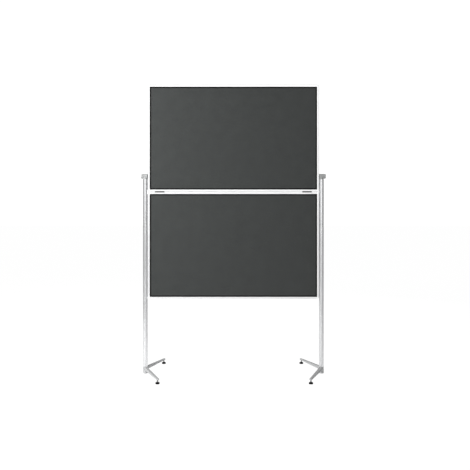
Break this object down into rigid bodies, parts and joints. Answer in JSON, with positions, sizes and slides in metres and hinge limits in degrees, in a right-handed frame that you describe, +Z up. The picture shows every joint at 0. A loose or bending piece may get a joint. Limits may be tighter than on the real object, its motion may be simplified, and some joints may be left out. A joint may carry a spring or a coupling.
{
  "type": "folding pinboard stand",
  "caption": "Upright folding pinboard: felt panels in slim metal frames hinged at a middle seam, on round posts with spread feet and levelling pads.",
  "frame": {"origin": "on the floor, midway between the four feet", "axes": "+Z up, +X along the board's width to the viewer's right, front face towards -Y"},
  "size_m": [1.295, 0.571, 2.023],
  "materials": {
    "frame_anodised": "satin",
    "post_anodised": "satin",
    "foot_arm_alloy": "satin",
    "cast_hub_grey": "satin",
    "corner_plastic": "satin",
    "felt_grey": "matte",
    "board_core": "matte",
    "white_enamel": "gloss",
    "black_seal": "matte",
    "hinge_black": "satin",
    "zinc_steel": "satin",
    "head_plastic": "satin",
    "knob_plastic": "satin",
    "clamp_pad_rubber": "matte",
    "brass": "satin",
    "glide_black": "satin"
  },
  "bodies": {
    "stand": {"clamp_bushes": "brass", "foot_arm_bolts": "zinc_steel", "foot_thread_inserts": "zinc_steel", "hanging_studs": "zinc_steel", "hinge_lower_screws": "zinc_steel", "left_clamp_head": "head_plastic", "left_foot_hub": "cast_hub_grey", "left_front_foot_arm": "foot_arm_alloy", "left_hinge_lower_leaf": "hinge_black", "left_hinge_pin": "zinc_steel", "left_post": "post_anodised", "left_rear_foot_arm": "foot_arm_alloy", "lower_board_core": "board_core", "lower_corner_pieces": "corner_plastic", "lower_edge_bead": "black_seal", "lower_felt": "felt_grey", "lower_frame_bottom_rail": "frame_anodised", "lower_frame_left_rail": "frame_anodised", "lower_frame_right_rail": "frame_anodised", "lower_frame_top_rail": "frame_anodised", "lower_steel_sheet": "white_enamel", "post_set_screws": "zinc_steel", "right_clamp_head": "head_plastic", "right_foot_hub": "cast_hub_grey", "right_front_foot_arm": "foot_arm_alloy", "right_hinge_lower_leaf": "hinge_black", "right_hinge_pin": "zinc_steel", "right_post": "post_anodised", "right_rear_foot_arm": "foot_arm_alloy", "seam_bumpers": "corner_plastic", "seam_spacers": "head_plastic", "stud_nut_plates": "zinc_steel"},
    "upper_panel": {"hinge_upper_screws": "zinc_steel", "left_hinge_upper_leaf": "hinge_black", "right_hinge_upper_leaf": "hinge_black", "upper_board_core": "board_core", "upper_corner_pieces": "corner_plastic", "upper_edge_bead": "black_seal", "upper_felt": "felt_grey", "upper_frame_bottom_rail": "frame_anodised", "upper_frame_left_rail": "frame_anodised", "upper_frame_right_rail": "frame_anodised", "upper_frame_top_rail": "frame_anodised", "upper_steel_sheet": "white_enamel"},
    "left_clamp_slide_body": {"left_clamp_pad": "clamp_pad_rubber"},
    "left_clamp_screw_body": {"left_clamp_knob": "knob_plastic", "left_clamp_spindle": "zinc_steel"},
    "right_clamp_slide_body": {"right_clamp_pad": "clamp_pad_rubber"},
    "right_clamp_screw_body": {"right_clamp_knob": "knob_plastic", "right_clamp_spindle": "zinc_steel"},
    "left_front_glide_body": {"left_front_glide": "glide_black"},
    "left_front_spindle_body": {"left_front_foot_spindle": "zinc_steel"},
    "left_rear_glide_body": {"left_rear_glide": "glide_black"},
    "left_rear_spindle_body": {"left_rear_foot_spindle": "zinc_steel"},
    "right_front_glide_body": {"right_front_glide": "glide_black"},
    "right_front_spindle_body": {"right_front_foot_spindle": "zinc_steel"},
    "right_rear_glide_body": {"right_rear_glide": "glide_black"},
    "right_rear_spindle_body": {"right_rear_foot_spindle": "zinc_steel"}
  },
  "joints": [
    {"name": "panel_fold", "type": "hinge", "parent": "stand", "child": "upper_panel", "pos_m": [0, -0.014, 1.273], "axis": [1, 0, 0], "range_deg": [0, 180]},
    {"name": "left_clamp_travel", "type": "slide", "parent": "stand", "child": "left_clamp_slide_body", "axis": [-1, 0, 0], "range_m": [0, 0.00187]},
    {"name": "left_clamp_turn", "type": "hinge", "parent": "left_clamp_slide_body", "child": "left_clamp_screw_body", "pos_m": [-0.6175, 0, 1.3815], "axis": [-1, 0, 0], "range_deg": [-1, 541]},
    {"name": "right_clamp_travel", "type": "slide", "parent": "stand", "child": "right_clamp_slide_body", "axis": [1, 0, 0], "range_m": [0, 0.00187]},
    {"name": "right_clamp_turn", "type": "hinge", "parent": "right_clamp_slide_body", "child": "right_clamp_screw_body", "pos_m": [0.6175, 0, 1.3815], "axis": [1, 0, 0], "range_deg": [-1, 541]},
    {"name": "left_front_foot_height", "type": "slide", "parent": "stand", "child": "left_front_glide_body", "axis": [0, 0, 1], "range_m": [-0.004, 0.0015]},
    {"name": "left_front_foot_turn", "type": "hinge", "parent": "left_front_glide_body", "child": "left_front_spindle_body", "pos_m": [-0.509, -0.27, 0.02], "axis": [0, 0, 1], "range_deg": [-1153, 433]},
    {"name": "left_rear_foot_height", "type": "slide", "parent": "stand", "child": "left_rear_glide_body", "axis": [0, 0, 1], "range_m": [-0.004, 0.0015]},
    {"name": "left_rear_foot_turn", "type": "hinge", "parent": "left_rear_glide_body", "child": "left_rear_spindle_body", "pos_m": [-0.509, 0.27, 0.02], "axis": [0, 0, 1], "range_deg": [-1153, 433]},
    {"name": "right_front_foot_height", "type": "slide", "parent": "stand", "child": "right_front_glide_body", "axis": [0, 0, 1], "range_m": [-0.004, 0.0015]},
    {"name": "right_front_foot_turn", "type": "hinge", "parent": "right_front_glide_body", "child": "right_front_spindle_body", "pos_m": [0.509, -0.27, 0.02], "axis": [0, 0, 1], "range_deg": [-1153, 433]},
    {"name": "right_rear_foot_height", "type": "slide", "parent": "stand", "child": "right_rear_glide_body", "axis": [0, 0, 1], "range_m": [-0.004, 0.0015]},
    {"name": "right_rear_foot_turn", "type": "hinge", "parent": "right_rear_glide_body", "child": "right_rear_spindle_body", "pos_m": [0.509, 0.27, 0.02], "axis": [0, 0, 1], "range_deg": [-1153, 433]}
  ],
  "couplings": [
    {"joint": "left_clamp_turn", "follows": "left_clamp_travel", "rad_per_m": 5026.5},
    {"joint": "right_clamp_turn", "follows": "right_clamp_travel", "rad_per_m": 5026.5},
    {"joint": "left_front_foot_turn", "follows": "left_front_foot_height", "rad_per_m": 5026.5},
    {"joint": "left_rear_foot_turn", "follows": "left_rear_foot_height", "rad_per_m": 5026.5},
    {"joint": "right_front_foot_turn", "follows": "right_front_foot_height", "rad_per_m": 5026.5},
    {"joint": "right_rear_foot_turn", "follows": "right_rear_foot_height", "rad_per_m": 5026.5}
  ]
}
